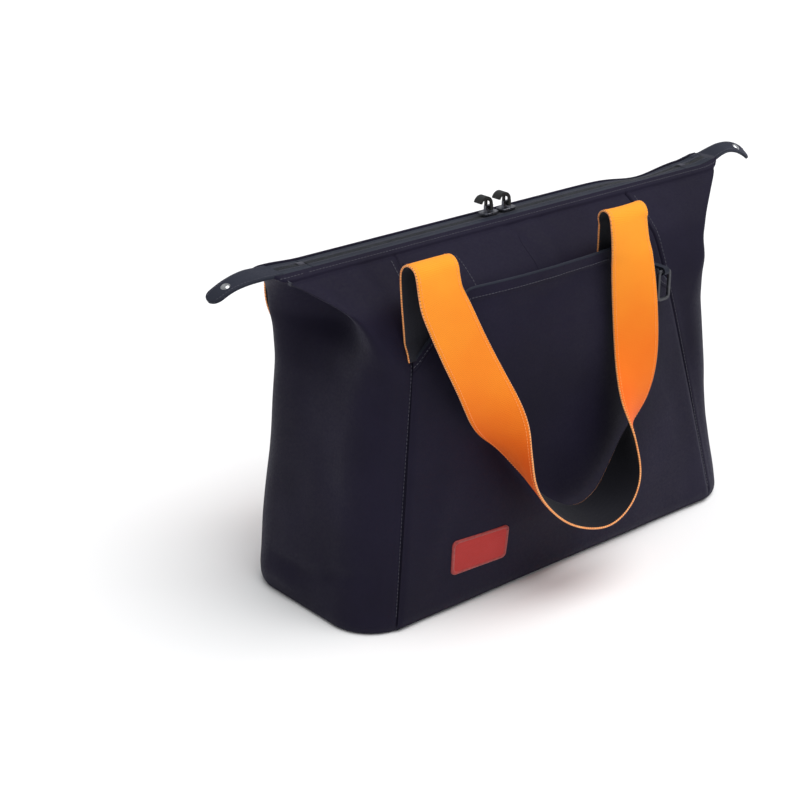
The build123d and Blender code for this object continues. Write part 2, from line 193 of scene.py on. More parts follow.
# ---------------------------------------------------------------- mesh building
class Build:
    """Collects points, faces, materials and cloth coordinates for one piece."""

    def __init__(self):
        self.points, self.faces, self.kinds, self.cloth = [], [], [], []

    def add(self, points, faces, kind=0, cloth=None):
        base = len(self.points)
        self.points += [tuple(p) for p in points]
        self.faces += [tuple(i + base for i in face) for face in faces]
        self.kinds += [kind] * len(faces) if isinstance(kind, int) else list(kind)
        self.cloth += [tuple(c) for c in (points if cloth is None else cloth)]

    def grid(self, points, kind=0, cloth=None, flip=False, closed=False):
        rows, columns = points.shape[:2]
        faces = []
        for r in range(rows - 1):
            for c in range(columns if closed else columns - 1):
                d = (c + 1) % columns
                a, b, e, f = (r * columns + c, r * columns + d,
                              (r + 1) * columns + d, (r + 1) * columns + c)
                faces.append((f, e, b, a) if flip else (a, b, e, f))
        flat = None if cloth is None else cloth.reshape(-1, 3)
        self.add(points.reshape(-1, 3), faces, kind, flat)

    def piece(self, name, materials, angle=55):
        mesh = bpy.data.meshes.new(name)
        mesh.from_pydata(self.points, [], self.faces)
        for material in materials:
            mesh.materials.append(material)
        mesh.polygons.foreach_set("material_index", np.array(self.kinds, np.int32))
        attribute = mesh.attributes.new("cloth", "FLOAT_VECTOR", "POINT")
        attribute.data.foreach_set("vector", np.array(self.cloth, np.float32).ravel())
        mesh.polygons.foreach_set("use_smooth", [True] * len(mesh.polygons))
        mesh.set_sharp_from_angle(angle=radians(angle))
        mesh.validate()
        piece = bpy.data.objects.new(name, mesh)
        bpy.context.scene.collection.objects.link(piece)
        return piece


def cloth_of(points):
    """Lengths along the rows and columns of a grid, in metres, as cloth coordinates."""
    across = np.linalg.norm(np.diff(points, axis=1), axis=2)
    across = np.concatenate([np.zeros((len(points), 1)), np.cumsum(across, 1)], 1)
    across -= across[:, -1:] / 2
    up = np.linalg.norm(np.diff(points, axis=0), axis=2).mean(axis=1)
    up = np.concatenate([[0], np.cumsum(up)])[:, None] + 0 * across
    return np.stack([across, up, 0 * up], axis=2)


def sheet_solid(name, outer, inner, materials, round_top=0.0):
    """A closed piece of cloth between two grids: outer face, lining and turned edges."""
    build = Build()
    cloth = cloth_of(outer)
    build.grid(outer, 0, cloth)
    build.grid(inner, 1, cloth, flip=True)
    rows, columns = outer.shape[:2]
    middle = (outer + inner) / 2
    for index, flip in ((0, True), (rows - 1, False)):
        lift = np.array([0, 0, round_top if index else 0.0])
        rim = np.stack([outer[index], middle[index] + lift, inner[index]])
        trim = np.stack([cloth[index]] * 3)
        build.grid(rim, 0, trim, flip)
    for index, flip in ((0, False), (columns - 1, True)):
        rim = np.stack([outer[:, index], inner[:, index]])
        trim = np.stack([cloth[:, index]] * 2)
        build.grid(rim, 0, trim, flip)
    return build.piece(name, materials)


def add_tube(build, path, radius, kind=0, sides=8, squash=1.0, normals=None):
    """A tube along a path, rounded off at both ends, into a Build."""
    tangents = unit(np.gradient(path, axis=0))
    if normals is None:
        normals = np.tile(np.array([0.0, 0.0, 1.0]), (len(path), 1))
    first = unit(np.cross(tangents, normals))
    second = np.cross(first, tangents)
    turns = np.linspace(0, 2 * pi, sides, endpoint=False)
    scale = np.ones(len(path))
    scale[0] = scale[-1] = TUBE_TIP
    ring = (path[:, None, :]
            + first[:, None, :] * (np.cos(turns)[None, :, None] * radius * scale[:, None, None])
            + second[:, None, :] * (np.sin(turns)[None, :, None] * radius * squash
                                    * scale[:, None, None]))
    build.grid(ring, kind, None, flip=True, closed=True)
    last = len(path) - 1
    base = len(build.points) - len(path) * sides
    build.faces.append(tuple(base + i for i in range(sides)))
    build.faces.append(tuple(base + last * sides + i for i in reversed(range(sides))))
    build.kinds += [kind, kind]


def add_stitches(build, line, normals, stitch, kind=0):
    """A row of sewn stitches along a line that lies on a surface with those normals."""
    pitch, length, radius = stitch
    line, normals = np.array(line), np.array(normals)
    along = run_of(line)
    whole = along[-1]
    count = int(whole / pitch)
    for index in range(count):
        middle = (index + 0.5) * whole / count
        places = np.clip(middle + length * np.linspace(-0.5, 0.5, len(STITCH_RISE)), 0,
                         whole)
        path = np.stack([np.interp(places, along, line[:, k]) for k in range(3)], 1)
        up = unit(np.stack([np.interp(places, along, normals[:, k]) for k in range(3)], 1))
        rise = np.array(STITCH_RISE)[:, None] * radius
        add_tube(build, path + up * rise, radius, kind, sides=5, normals=up)


# ---------------------------------------------------------------- materials
class Paint:
    """One procedural material, with short calls for the nodes that it is made of."""

    def __init__(self, name):
        self.material = bpy.data.materials.new(name)
        self.material.use_nodes = True
        self.nodes = self.material.node_tree.nodes
        self.links = self.material.node_tree.links
        self.shader = self.nodes["Principled BSDF"]

    def put(self, kind, inputs=(), **settings):
        node = self.nodes.new(kind)
        for name, value in settings.items():
            setattr(node, name, value)
        for place, value in dict(inputs).items():
            self.join(value, node.inputs[place])
        return node

    def join(self, value, socket):
        if isinstance(value, bpy.types.NodeSocket):
            self.links.new(value, socket)
        else:
            socket.default_value = value

    def math(self, operation, first, second=0.0):
        return self.put("ShaderNodeMath", {0: first, 1: second}, operation=operation).outputs[0]

    def noise(self, scale, detail=3.0, rough=0.5, vector=None):
        vector = vector or self.put("ShaderNodeTexCoord").outputs["Object"]
        inputs = {"Vector": vector, "Scale": scale, "Detail": detail, "Roughness": rough}
        return self.put("ShaderNodeTexNoise", inputs).outputs["Fac"]

    def spread(self, value, low, high, new_low=0.0, new_high=1.0):
        inputs = {"Value": value, "From Min": low, "From Max": high,
                  "To Min": new_low, "To Max": new_high}
        return self.put("ShaderNodeMapRange", inputs).outputs[0]

    def blend(self, share, first, second):
        node = self.put("ShaderNodeMix", data_type="RGBA")
        self.join(share, node.inputs[0])
        self.join(first, node.inputs[6])
        self.join(second, node.inputs[7])
        return node.outputs[2]

    def bump(self, height, strength, distance, under=None):
        inputs = {"Height": height, "Strength": strength, "Distance": distance}
        if under:
            inputs["Normal"] = under
        return self.put("ShaderNodeBump", inputs).outputs[0]

    def cloth(self):
        """The along and across coordinates of a piece of cloth, in metres."""
        vector = self.put("ShaderNodeAttribute", attribute_name="cloth").outputs["Vector"]
        return self.put("ShaderNodeSeparateXYZ", {0: vector}).outputs

    def set(self, **values):
        for name, value in values.items():
            self.join(value, self.shader.inputs[name.replace("_", " ")])
        return self.material


def weave_height(paint, pitch):
    """Over and under threads: 1 on top of a thread and 0 between threads."""
    u, v, _ = paint.cloth()
    warp = paint.math("SINE", paint.math("MULTIPLY", u, 2 * pi / pitch))
    weft = paint.math("SINE", paint.math("MULTIPLY", v, 2 * pi / pitch))
    return paint.spread(paint.math("MULTIPLY", warp, weft), -1.0, 1.0)


def make_fabric(name, dark, light, pitch=0.75, sheen=0.03, rough=0.62, coarse=0.35):
    """Smooth, dense bag fabric: fine plain weave, slight sheen, uneven tone."""
    paint = Paint(name)
    weave = weave_height(paint, pitch * MM)
    cloudy = paint.spread(paint.noise(7.0, 5.0, 0.6), 0.3, 0.7)
    grain = paint.spread(paint.noise(420.0, 2.0), 0.3, 0.7)
    tone = paint.blend(cloudy, (*dark, 1), (*light, 1))
    tone = paint.blend(paint.math("MULTIPLY", grain, 0.22), tone, (*light, 1))
    # painted shade: darker between the threads of the weave
    tone = paint.blend(paint.spread(weave, 0.0, 0.35, 0.3, 0.0), tone, (0.004, 0.004, 0.006, 1))
    roughness = paint.spread(grain, 0.0, 1.0, rough - 0.06, rough + 0.08)
    soft = paint.bump(paint.noise(38.0, 4.0), 0.25, 0.9 * MM)
    normal = paint.bump(weave, coarse, 0.12 * MM, soft)
    return paint.set(Base_Color=tone, Roughness=roughness, Normal=normal,
                     Sheen_Weight=sheen, Sheen_Roughness=0.45,
                     Sheen_Tint=(0.62, 0.62, 0.9, 1.0), Specular_IOR_Level=0.11)


def make_webbing(name, deep, bright, groove):
    """Flat webbing with cross ribs and small herringbone threads, with painted light: paler near
    the top, by height on the object, and painted shade in the grooves.
    """
    paint = Paint(name)
    u, v, _ = paint.cloth()
    ribs = paint.math("SINE", paint.math("MULTIPLY", v, 2 * pi / (1.5 * MM)))
    zigzag = paint.math("PINGPONG", paint.math("MULTIPLY", u, 1 / (2.8 * MM)), 1.0)
    lean = paint.math("ADD", v, paint.math("MULTIPLY", zigzag, 1.4 * MM))
    threads = paint.math("SINE", paint.math("MULTIPLY", lean, 2 * pi / (0.9 * MM)))
    height = paint.spread(paint.math("ADD", paint.math("MULTIPLY", ribs, 0.5), threads), -1.5, 1.5)
    place = paint.put("ShaderNodeTexCoord").outputs["Object"]
    level = paint.put("ShaderNodeSeparateXYZ", {0: place}).outputs[2]
    # painted light: the colour turns paler with height on the object, from 130 mm up to 330 mm
    painted_top_light = paint.spread(level, 130 * MM, 330 * MM, 0.0, 0.85)
    cloudy = paint.spread(paint.noise(16.0, 4.0), 0.3, 0.7, 0.0, 0.2)
    tone = paint.blend(paint.math("ADD", painted_top_light, cloudy), (*deep, 1), (*bright, 1))
    # painted shade: the groove colour darkens the low parts between ribs and threads
    tone = paint.blend(paint.spread(height, 0.0, 0.4, 0.45, 0.0), tone, (*groove, 1))
    fuzz = paint.spread(paint.noise(900.0, 2.0), 0.35, 0.65, 0.6, 0.78)
    soft = paint.bump(paint.noise(55.0, 2.0), 0.2, 0.7 * MM)
    normal = paint.bump(height, 0.5, 0.22 * MM, soft)
    return paint.set(Base_Color=tone, Roughness=fuzz, Normal=normal, Sheen_Weight=0.05,
                     Sheen_Roughness=0.5, Specular_IOR_Level=0.1)


def make_thread(name, colour, bright):
    paint = Paint(name)
    tone = paint.blend(paint.spread(paint.noise(300.0), 0.3, 0.7), (*colour, 1), (*bright, 1))
    normal = paint.bump(paint.noise(2500.0, 2.0), 0.3, 0.1 * MM)
    return paint.set(Base_Color=tone, Roughness=0.55, Normal=normal, Sheen_Weight=0.2)


def make_plastic(name, colour, worn, rough, grain=900.0, grain_depth=0.04):
    """Moulded nylon or rubber with a fine grain and paler worn patches."""
    paint = Paint(name)
    wear = paint.spread(paint.noise(120.0, 5.0, 0.7), 0.52, 0.72)
    tone = paint.blend(wear, (*colour, 1), (*worn, 1))
    roughness = paint.spread(paint.noise(60.0, 3.0), 0.3, 0.7, rough - 0.08, rough + 0.1)
    normal = paint.bump(paint.noise(grain, 2.0), 0.35, grain_depth * MM)
    return paint.set(Base_Color=tone, Roughness=roughness, Normal=normal)


def make_metal(name, colour, bright, rough):
    """Plated die-cast metal with fine scratches and rubbed bright spots."""
    paint = Paint(name)
    rubbed = paint.spread(paint.noise(160.0, 6.0, 0.65), 0.45, 0.7)
    tone = paint.blend(rubbed, (*colour, 1), (*bright, 1))
    place = paint.put("ShaderNodeTexCoord").outputs["Object"]
    drawn = paint.put("ShaderNodeMapping", {"Vector": place, "Scale": (60.0, 2600.0, 900.0)})
    scratches = paint.noise(1.0, 2.0, 0.5, drawn.outputs[0])
    roughness = paint.spread(scratches, 0.3, 0.7, rough - 0.1, rough + 0.12)
    normal = paint.bump(scratches, 0.12, 0.03 * MM)
    return paint.set(Base_Color=tone, Roughness=roughness, Normal=normal, Metallic=1.0)


NAVY = ((0.0055, 0.0041, 0.0120), (0.0110, 0.0086, 0.0235))
body_fabric = make_fabric("navy_body_fabric", *NAVY)
lining = make_fabric("grey_lining", (0.03, 0.031, 0.04), (0.05, 0.051, 0.062), 0.6, 0.15, 0.7)
base_fabric = make_fabric("coarse_base_fabric", (0.012, 0.012, 0.015), (0.022, 0.022, 0.027),
                          1.4, 0.15, 0.72, 0.8)
trim_fabric = make_fabric("navy_trim", (0.009, 0.011, 0.017), (0.02, 0.023, 0.035), 1.1, 0.12,
                          0.6, 0.7)
tape_fabric = make_fabric("zip_tape_weave", (0.01, 0.0125, 0.019), (0.021, 0.026, 0.037), 0.9,
                          0.1, 0.55, 0.8)
# The third colour of each webbing is painted shade for its grooves.
orange_webbing = make_webbing("orange_webbing", (0.84, 0.095, 0.005), (0.97, 0.36, 0.026),
                              (0.42, 0.05, 0.003))
navy_webbing = make_webbing("navy_webbing", (0.010, 0.010, 0.014), (0.022, 0.022, 0.03),
                            (0.004, 0.004, 0.005))
navy_thread = make_thread("navy_thread", (0.03, 0.03, 0.045), (0.055, 0.055, 0.08))
orange_thread = make_thread("orange_thread", (0.9, 0.28, 0.06), (1.0, 0.42, 0.12))
dark_thread = make_thread("dark_edge_thread", (0.012, 0.012, 0.016), (0.03, 0.03, 0.035))
coil_nylon = make_plastic("coil_nylon", (0.02, 0.022, 0.03), (0.05, 0.055, 0.065), 0.4)
pull_rubber = make_plastic("pull_rubber", (0.006, 0.007, 0.0065), (0.018, 0.02, 0.019), 0.5,
                           500.0, 0.1)
ring_plastic = make_plastic("ring_plastic", (0.022, 0.023, 0.03), (0.075, 0.075, 0.09), 0.36)
board_plastic = make_plastic("base_board", (0.02, 0.02, 0.022), (0.04, 0.04, 0.042), 0.6)
gunmetal = make_metal("gunmetal", (0.11, 0.115, 0.135), (0.5, 0.51, 0.56), 0.34)
nickel = make_metal("nickel", (0.42, 0.43, 0.44), (0.75, 0.76, 0.78), 0.26)
label_red = make_fabric("woven_red", (0.34, 0.028, 0.022), (0.48, 0.042, 0.033), 0.7, 0.2, 0.7,
                        0.7)
label_edge = make_thread("label_border", (0.2, 0.012, 0.01), (0.34, 0.03, 0.025))


# ---------------------------------------------------------------- body shell
half_length = soft_table([(row[0], row[1]) for row in BODY_LEVELS])
half_depth = soft_table([(row[0], row[2]) for row in BODY_LEVELS])
corner = soft_table([(row[0], row[3]) for row in BODY_LEVELS])
pleat = soft_table([(row[0], row[4]) for row in BODY_LEVELS], 4.0)
left_seam = soft_table(LEFT_SEAM, 3.0)
right_seam = soft_table(RIGHT_SEAM, 3.0)
right_tuck = soft_table(RIGHT_TUCK)

# Soft folds: (start, end, half width, height), mm. A negative height is a dent.
FOLDS = (
    ((-38, -12, 321), (-16, -44, 303), 6, 1.5),
    ((-24, -14, 320), (2, -54, 296), 6, -1.4),
    ((4, -14, 321), (17, -60, 291), 7, 1.8),
    ((18, -16, 320), (36, -52, 298), 7, -1.3),
    ((-200, -16, 320), (-190, -54, 296), 7, 1.7),
    ((-186, -18, 319), (-172, -50, 298), 7, -1.2),
    ((-226, -22, 316), (-202, -46, 303), 6, 1.4),
    ((-236, -24, 314), (-214, -56, 296), 7, -1.2),
    ((160, -18, 319), (178, -52, 298), 9, 1.5),
    ((196, -18, 318), (204, -60, 291), 9, -1.4),
    ((-243, 40, 36), (-243, -15, 40), 7, -5.2),
    ((-243, -15, 40), (-238, -66, 57), 7, -4.6),
    ((-238, -66, 57), (-222, -88, 52), 9, -1.6),
    ((-240, 62, 14), (-246, 4, 18), 12, 3.6),
    ((-229, 30, 205), (-219, -62, 232), 18, -3.0),
    ((-236, -40, 120), (-228, -70, 165), 22, 1.6),
    ((243, -15, 34), (238, 60, 44), 10, -2.6),
    ((226, -40, 190), (220, 40, 222), 18, -2.4),
    ((-120, 90, 60), (-60, 86, 170), 26, 1.8),
    ((90, 90, 40), (30, 86, 190), 26, -1.6),
    ((-150, 66, 290), (-90, 40, 306), 10, -1.6),
    ((60, 62, 292), (120, 34, 308), 11, 1.8),
    ((-205, 88, 70), (-150, 88, 120), 20, 1.5),
    ((190, 89, 60), (150, 87, 120), 18, -1.4),
)


def half_section(x, a_left, a_right, b, r):
    """How far the outline stands from the centre plane at x."""
    beyond = np.clip(np.abs(x) - (np.where(x > 0, a_right, a_left) - r), 0, r)
    return (b - r) + np.sqrt(np.maximum(r * r - beyond * beyond, 0.0))


def quarter(a, b, r, pleat_depth, seam, shares_seam, shares_end):
    """Seam to corner crease, then crease to the middle of the end, in one quarter."""
    first = asin(min(0.68, max(0.0, (seam - (a - r)) / r)))
    turns = np.linspace(first, pi / 4, 14)
    to_crease = np.stack([a - r + r * np.sin(turns), b - r + r * np.cos(turns)], 1)
    if seam < a - r:
        to_crease = np.vstack([[seam, b], to_crease])
    turns = np.linspace(pi / 4, pi / 2, 10)
    arc = np.stack([a - r + r * np.sin(turns), b - r + r * np.cos(turns)], 1)
    y = np.linspace(b - r, 0, 22)[1:]
    x = a - pleat_depth * np.cos(0.5 * pi * y / (b - r)) ** 2
    from_crease = np.vstack([arc, np.stack([x, y], 1)])
    return np.vstack([flat_resample(to_crease, shares_seam),
                      flat_resample(from_crease, shares_end)[1:]])


def flat_resample(path, shares):
    return resample(np.hstack([path, np.zeros((len(path), 1))]), shares)[:, :2]


def shell_rows():
    """(height, inset) of each row of the shell's grid, mm, from under the base up."""
    rows = [(0.2, 17.0), (0.2, 11.0)]
    roll_steps = ROLL_ROWS - len(rows)
    for step in range(roll_steps):
        turn = pi / 2 * step / roll_steps
        rows.append((0.2 + (ROLL - 0.2) * (1 - cos(turn)), ROLL_INSET * (1 - sin(turn))))
    rows += [(height, 0.0) for height in np.arange(ROLL, 310, 3.1)]
    fine = (311.6, 313.2, 314.6, 315.6, 316.2, 316.7, 317.1, 317.6, 318.1, 318.8, 319.7,
            320.6, 321.4, 322)
    return rows + [(height, 0.0) for height in fine]


FRONT_SHARES = edge_shares(150, 350)
SEAM_SHARES = edge_shares(26, 70, both=False)
END_SHARES = np.linspace(0, 1, 28)


def shell_grid():
    """The undistorted outline of every row, once round the bag from the left front seam."""
    grid = []
    for height, inset in shell_rows():
        a, b = half_length(height) - inset, half_depth(height) - inset
        r, depth = max(2.0, corner(height) - inset / 2), max(0.0, float(pleat(height)))
        left, right = left_seam(height) - inset / 2, right_seam(height) - inset / 2
        x = -left + FRONT_SHARES * (left + right)
        a_right = a - float(right_tuck(height))
        y = half_section(x, a, a_right, b, r)
        rq = quarter(a_right, b, r, depth, right, SEAM_SHARES, END_SHARES)
        lq = quarter(a, b, r, depth, left, SEAM_SHARES, END_SHARES)
        row = [np.stack([x, -y], 1), rq[1:] * (1, -1), rq[-2::-1], np.stack([x, y], 1)[-2::-1],
               lq[1:] * (-1, 1), lq[-2:0:-1] * (-1, -1)]
        flat = np.vstack(row)
        grid.append(np.hstack([flat, np.full((len(flat), 1), height)]))
    return np.array(grid) * MM


def normals_of(points, closed=False):
    if closed:
        along = np.roll(points, -1, axis=1) - np.roll(points, 1, axis=1)
    else:
        along = np.gradient(points, axis=1)
    return unit(np.cross(along, np.gradient(points, axis=0)))


def settle(points):
    """How the ridge sags: the band tips back on the right, and the right wing tip lifts."""
    x, y, z = (points[..., k] / MM for k in range(3))
    back = 1.5 + 6.0 * hump(188, 36, x) - 2.0 * smoothstep(-225, -262, x)
    tip = 3.5 * smoothstep(246, 273, x)
    share = np.clip((y + 15) / 30, 0, 1.15)
    moved = points.copy()
    moved[..., 2] += (tip - back * share) * smoothstep(262, 318, z) * MM
    return moved


def fold_heights(points):
    """The height of all the soft folds at each point, mm."""
    total = np.zeros(points.shape[:-1])
    for start, end, width, height in FOLDS:
        a, b = np.array(start) * MM, np.array(end) * MM
        share = np.clip(((points - a) @ (b - a)) / ((b - a) @ (b - a)), 0, 1)
        away = np.linalg.norm(points - (a + share[..., None] * (b - a)), axis=-1) / MM
        total += height * np.exp(-((away / width) ** 2)) * (0.35 + 0.65 * np.sin(pi * share))
    return total


panel_columns = len(FRONT_SHARES)
gusset_columns = 2 * (len(SEAM_SHARES) + len(END_SHARES) - 1) - 1
right_start = panel_columns - 1
back_start = right_start + gusset_columns - 1
left_start = back_start + panel_columns - 1


def shell_shape():
    """The finished outer grid and its normals, closed round the bag."""
    base = shell_grid()
    normal = normals_of(base, closed=True)
    columns = base.shape[1]
    around = np.linalg.norm(np.roll(base, -1, axis=1) - base, axis=2) / MM
    along = np.concatenate([np.zeros((len(base), 1)), np.cumsum(around, 1)], 1)
    starts = (0, right_start, back_start, left_start, columns)
    fullness = (0.8, 3.0, 7.0, 4.0)
    grooves = (1.0, 2.4, 1.2, 1.0)
    z = base[..., 2] / MM
    height = np.zeros(z.shape)
    seam_gap = np.full(z.shape, 1e9)
    for first, last, full in zip(starts, starts[1:], fullness):
        width = (along[:, last] - along[:, first])[:, None]
        place = along[:, first:last] - along[:, first:first + 1]
        crown = np.clip(4 * (place / width) * (1 - place / width), 0, 1) ** 0.75
        belly = np.sin(pi * np.clip((z[:, first:last] - 4) / 256, 0, 1)) ** 0.75
        height[:, first:last] += full * crown * belly
        seam_gap[:, first:last] = np.minimum(place, width - place)
    height += fold_heights(base)
    height += ripple(base, 0.075, 2.6) + ripple(base + 1.0, 0.028, 0.7)
    settled = smoothstep(0, 26, seam_gap) * smoothstep(2, 22, z) * smoothstep(322, 312, z)
    height *= settled
    groove = np.zeros(z.shape)
    for start, depth in zip(starts, grooves):
        gap = np.abs(along[:, :-1] - along[:, start % columns][:, None])
        gap = np.minimum(gap, along[:, -1:] - gap)
        groove -= depth * np.exp(-((gap / 1.2) ** 2)) - 0.5 * np.exp(-(((gap - 4.5) / 2.6) ** 2))
    groove *= smoothstep(4, 12, z) * smoothstep(TOP_BAND_Z + 1, TOP_BAND_Z - 1, z)
    band = 1.1 * smoothstep(TOP_BAND_Z - 0.3, TOP_BAND_Z + 0.9, z)
    band -= 0.8 * np.exp(-(((z - TOP_BAND_Z + 0.6) / 0.9) ** 2))
    shaped = base + normal * ((height + groove + band) * MM)[..., None]
    shaped = settle(shaped)
    return shaped, normals_of(shaped, closed=True)


shell, shell_normals = shell_shape()


def take(first, count):
    columns = [index % shell.shape[1] for index in range(first, first + count)]
    return shell[:, columns], shell_normals[:, columns]


def make_shell_piece(name, node, first, count):
    outer, normals = take(first, count)
    piece = sheet_solid(name, outer, outer - normals * WALL, [body_fabric, lining], 0.6 * MM)
    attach(piece, "bag")
    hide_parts(node)
    return outer, normals


front_grid, front_normals = make_shell_piece("front_cloth", "front_panel", 0, panel_columns)
right_grid, right_normals = make_shell_piece("right_end_cloth", "right_gusset", right_start,
                                             gusset_columns)
back_grid, back_normals = make_shell_piece("back_cloth", "back_panel", back_start,
                                           panel_columns)
left_grid, left_normals = make_shell_piece("left_end_cloth", "left_gusset", left_start,
                                           gusset_columns)

row_heights = np.array([height for height, _ in shell_rows()])
body_rows = np.where((row_heights > 14) & (row_heights < TOP_BAND_Z - 2))[0]
band_row = int(np.argmin(np.abs(row_heights - (TOP_BAND_Z + 2.6))))
SEAM_STITCH = 5                 # the column that seam stitches follow, from the seam
BAND_START = 20                 # columns before the left front seam, where a row round starts


def make_seam_stitches():
    """Topstitching beside the four upright seams and along the band under the zip."""
    build = Build()
    for grid, normals in ((left_grid, left_normals), (right_grid, right_normals)):
        for column in (SEAM_STITCH, -1 - SEAM_STITCH):
            add_stitches(build, grid[body_rows, column], normals[body_rows, column],
                         PANEL_STITCH)
    whole, up = (np.roll(part, BAND_START, axis=1)[band_row] for part in (shell, shell_normals))
    add_stitches(build, whole, up, SEWN_STITCH)
    piece = build.piece("seam_topstitching", [navy_thread])
    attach(piece, "bag")


make_seam_stitches()


def panel_spot(x, z, grid, normals):
    """Points and normals on a long panel at x and z, in mm."""
    x, z = np.asarray(x, float), np.asarray(z, float)
    usable = slice(ROLL_ROWS, None)
    heights = row_heights[usable]
    row = np.interp(z, heights, np.arange(len(heights)))
    share = (x + left_seam(z)) / (left_seam(z) + right_seam(z))
    shares = FRONT_SHARES
    if grid[-1, 0, 0] > grid[-1, -1, 0]:
        share, shares = 1 - share, 1 - FRONT_SHARES[::-1]
    column = np.interp(share, shares, np.arange(len(shares)))
    r0 = np.clip(np.floor(row).astype(int), 0, len(heights) - 2)
    c0 = np.clip(np.floor(column).astype(int), 0, len(shares) - 2)
    fr, fc = (row - r0)[..., None], (column - c0)[..., None]

    def mixed(values):
        v = values[usable]
        return ((v[r0, c0] * (1 - fc) + v[r0, c0 + 1] * fc) * (1 - fr)
                + (v[r0 + 1, c0] * (1 - fc) + v[r0 + 1, c0 + 1] * fc) * fr)

    return mixed(grid), unit(mixed(normals))


# ---------------------------------------------------------------- base
def make_base_cover():
    """The base's fabric face, framed by the rolled edge."""
    columns = 96
    turns = np.linspace(0, 2 * pi, columns, endpoint=False)
    rings = []
    for share in (0.0, 0.25, 0.5, 0.75, 0.9, 0.97, 1.0):
        a, b = (half_length(0) - 8) * share, (half_depth(0) - 8) * share
        power = 0.42
        x = a * np.sign(np.cos(turns)) * np.abs(np.cos(turns)) ** power
        y = b * np.sign(np.sin(turns)) * np.abs(np.sin(turns)) ** power
        z = np.full(columns, 1.0 + 0.6 * share)
        rings.append(np.stack([x, y, z], 1) * MM)
    top = [ring + (0, 0, 1.6 * MM) for ring in reversed(rings)]
    grid = np.array(rings + top)
    build = Build()
    build.grid(grid, 0, grid, flip=True, closed=True)
    piece = build.piece("base_cover", [base_fabric])
    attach(piece, "bag")
    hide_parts("base_panel")


make_base_cover()


# ---------------------------------------------------------------- racket sleeve
def sleeve_edges(z):
    return -left_seam(z), right_seam(z)


def sleeve_y(x, z):
    """The sleeve's outer face, mm."""
    left, right = sleeve_edges(z)
    share = np.clip((x - left) / (right - left), 0, 1)
    wall = half_depth(np.minimum(z, SLEEVE_NOTCH))
    lean = SLEEVE_LEAN * np.clip((z - SLEEVE_NOTCH) / (SLEEVE_MOUTH - SLEEVE_NOTCH), 0, 1)
    full = SLEEVE_BOW * np.clip((z - SLEEVE_FOOT) / (SLEEVE_FULL - SLEEVE_FOOT), 0, 1) ** 0.7
    bow = full * (1 - np.abs(2 * share - 1) ** 2.3)
    edge = np.minimum(x - left, right - x)
    skin = 0.3 + (SLEEVE_WALL + 0.2) * smoothstep(0, 5, edge)
    skin *= 0.4 + 0.6 * smoothstep(SLEEVE_FOOT, SLEEVE_FOOT + 8, z)
    return -(wall - lean) - bow - skin


def sleeve_points(x, z, raised=0.0):
    """Points on the sleeve with its soft folds, raised mm off its face."""
    points = np.stack([x, sleeve_y(x, z), z], axis=-1) * MM
    left, right = sleeve_edges(z)
    inside = smoothstep(0, 40, np.minimum(x - left, right - x))
    wave = ripple(points, 0.085, 2.2) + ripple(points + 3.0, 0.03, 0.5)
    dents = (2.2 * hump(0, 17, (x + 178) - 0.35 * (z - 60)) * hump(90, 60, z)
             - 1.6 * hump(0, 20, (x - 150) + 0.5 * (z - 120)) * hump(100, 60, z)
             - 1.8 * hump(0, 12, (z - 277) - 0.22 * (x + 40)) * hump(-30, 60, x))
    points[..., 1] -= ((wave + dents) * inside + raised) * MM
    return points


def mouth_height(x):
    """The sleeve's top edge: level in the middle, with both corners cut off."""
    left, right = -left_seam(SLEEVE_NOTCH), right_seam(SLEEVE_NOTCH)
    away = np.minimum(x - left, right - x)
    rise = (SLEEVE_TOP / MM - SLEEVE_NOTCH) / SLEEVE_CUT
    cut = SLEEVE_NOTCH + rise * away
    top = SLEEVE_TOP / MM - 0.6
    soft = 2.5
    return top - soft * np.logaddexp(0, (top - cut) / soft)


def make_sleeve():
    shares = edge_shares(150, 330)
    levels = np.concatenate([np.linspace(0, 0.05, 5)[:-1], np.linspace(0.05, 0.93, 74)[:-1],
                             np.linspace(0.93, 1, 14)])
    x = np.zeros((len(levels), len(shares)))
    z = np.zeros_like(x)
    for column, share in enumerate(shares):
        top = SLEEVE_NOTCH
        for _ in range(6):
            left, right = sleeve_edges(top)
            top = mouth_height(left + share * (right - left))
        z[:, column] = SLEEVE_FOOT + levels * (top - SLEEVE_FOOT)
        left, right = sleeve_edges(z[:, column])
        x[:, column] = left + share * (right - left)
    outer = sleeve_points(x, z)
    below = z[-1:] - z
    hem = 0.9 * smoothstep(HEM + 0.8, HEM - 0.8, below) - 0.5 * hump(HEM + 0.4, 0.9, below)
    normals = normals_of(outer)
    outer = outer + normals * (hem * MM)[..., None]
    thick = (SLEEVE_WALL + 1.0 * smoothstep(HEM + 1, HEM - 1, below)) * MM
    thick *= 0.25 + 0.75 * smoothstep(0, 5, np.minimum(x - sleeve_edges(z)[0],
                                                       sleeve_edges(z)[1] - x))
    inner = outer - normals * thick[..., None]
    piece = sheet_solid("racket_sleeve_cloth", outer, inner, [body_fabric, lining])
    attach(piece, "bag")
    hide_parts("racket_sleeve")
    edge = (outer[-1] + inner[-1]) / 2
    build = Build()
    along = np.linspace(0, 1, 420)
    path = resample(edge, along)
    out = resample(normals[-1], along)
    add_tube(build, path, 1.75 * MM, 0, 10, 0.8, out)
    middle = below[:, len(shares) // 2]
    stitched = int(np.argmin(np.abs(middle - (HEM - HEM_STITCH))))
    add_stitches(build, outer[stitched], normals[stitched], SEWN_STITCH, 1)
    binding = build.piece("sleeve_edge_binding", [trim_fabric, navy_thread])
    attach(binding, "bag")
    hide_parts("sleeve_binding")


make_sleeve()


